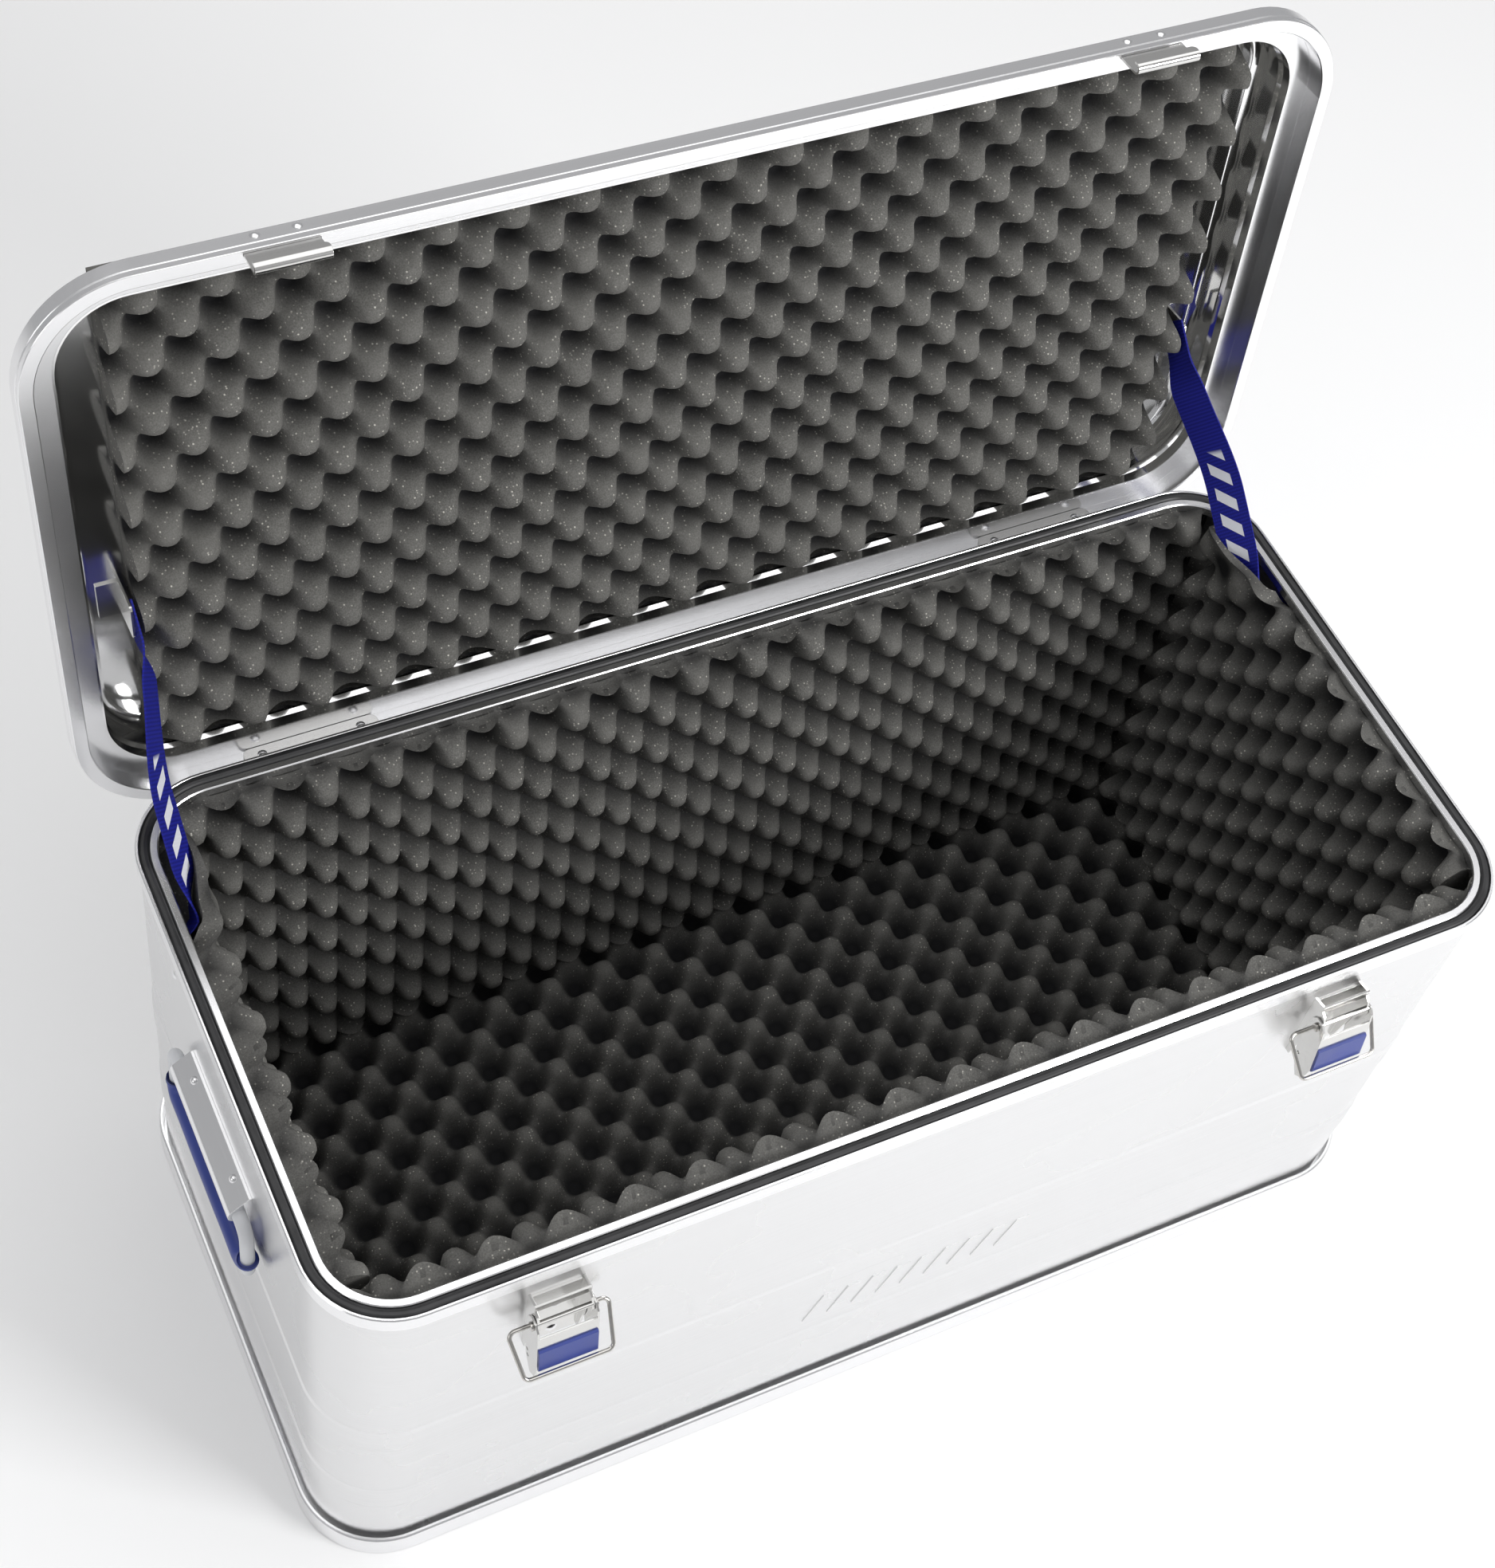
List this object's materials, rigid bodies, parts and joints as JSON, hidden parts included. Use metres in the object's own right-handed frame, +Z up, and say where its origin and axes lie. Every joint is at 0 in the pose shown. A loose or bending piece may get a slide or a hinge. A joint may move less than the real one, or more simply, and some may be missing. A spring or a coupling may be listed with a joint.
{
  "type": "aluminium transport case",
  "caption": "Deep open aluminium transport case with hinged lid, draw latches, swing handles, lid straps and egg-crate foam lining.",
  "frame": {"origin": "middle of the underside of the floor", "axes": "+X right along the length, +Y towards the hinges, +Z up; latches on the -Y side"},
  "size_m": [0.783, 0.4811, 0.6946],
  "materials": {
    "sheet": "satin rolled sheet",
    "lid_sheet": "bright rolled sheet",
    "profile": "anodised extrusion",
    "steel": "polished stainless steel",
    "bar": "grey coated bar",
    "blue_plastic": "moulded blue plastic",
    "gasket": "black rubber",
    "foam": "open-cell foam",
    "webbing": "woven polyester"
  },
  "bodies": {
    "case": {"wall_sheet": "sheet", "floor_sheet": "sheet", "base_profile": "profile", "rim_profile": "profile", "rim_gasket": "gasket", "foam_floor": "foam", "foam_left": "foam", "foam_right": "foam", "foam_front": "foam", "foam_back": "foam", "handle_bracket_left": "profile", "handle_rivets_left": "steel", "strap_left": "webbing", "latch_bracket_left": "steel", "latch_pin_left": "steel", "latch_rivets_left": "steel", "hinge_leaf_body_left": "steel", "hinge_pin_left": "steel", "hinge_rivets_body_left": "steel", "strap_rivets_body_left": "steel", "handle_bracket_right": "profile", "handle_rivets_right": "steel", "strap_right": "webbing", "latch_bracket_right": "steel", "latch_pin_right": "steel", "latch_rivets_right": "steel", "hinge_leaf_body_right": "steel", "hinge_pin_right": "steel", "hinge_rivets_body_right": "steel", "strap_rivets_body_right": "steel"},
    "lid": {"lid_rim_profile": "profile", "lid_tray": "lid_sheet", "lid_foam": "foam", "hook_left": "steel", "hinge_leaf_lid_left": "steel", "hook_rivets_left": "steel", "hinge_rivets_lid_left": "steel", "strap_rivets_lid_left": "steel", "strap_tab_left": "steel", "hook_right": "steel", "hinge_leaf_lid_right": "steel", "hook_rivets_right": "steel", "hinge_rivets_lid_right": "steel", "strap_rivets_lid_right": "steel", "strap_tab_right": "steel"},
    "latch_lever_left": {"latch_lever_left": "steel", "latch_insert_left": "blue_plastic"},
    "latch_bail_left": {"latch_bail_left": "steel"},
    "handle_left": {"handle_bar_left": "bar", "handle_grip_left": "blue_plastic"},
    "latch_lever_right": {"latch_lever_right": "steel", "latch_insert_right": "blue_plastic"},
    "latch_bail_right": {"latch_bail_right": "steel"},
    "handle_right": {"handle_bar_right": "bar", "handle_grip_right": "blue_plastic"}
  },
  "joints": [
    {"name": "lid_hinge", "type": "hinge", "parent": "case", "child": "lid", "pos_m": [0, 0.1812, 0.3205], "axis": [1, 0, 0], "range_deg": [0, 96.2], "deforming": ["strap_left", "strap_right"]},
    {"name": "latch_lever_hinge_left", "type": "hinge", "parent": "case", "child": "latch_lever_left", "pos_m": [-0.252, -0.19, 0.303], "axis": [-1, 0, 0], "range_deg": [0, 75]},
    {"name": "latch_bail_hinge_left", "type": "hinge", "parent": "latch_lever_left", "child": "latch_bail_left", "pos_m": [-0.252, -0.1845, 0.2905], "axis": [-1, 0, 0], "range_deg": [0, 60]},
    {"name": "handle_hinge_left", "type": "hinge", "parent": "case", "child": "handle_left", "pos_m": [-0.3845, 0, 0.255], "axis": [0, 1, 0], "range_deg": [0, 95]},
    {"name": "latch_lever_hinge_right", "type": "hinge", "parent": "case", "child": "latch_lever_right", "pos_m": [0.252, -0.19, 0.303], "axis": [-1, 0, 0], "range_deg": [0, 75]},
    {"name": "latch_bail_hinge_right", "type": "hinge", "parent": "latch_lever_right", "child": "latch_bail_right", "pos_m": [0.252, -0.1845, 0.2905], "axis": [-1, 0, 0], "range_deg": [0, 60]},
    {"name": "handle_hinge_right", "type": "hinge", "parent": "case", "child": "handle_right", "pos_m": [0.3845, 0, 0.255], "axis": [0, -1, 0], "range_deg": [0, 95]}
  ]
}
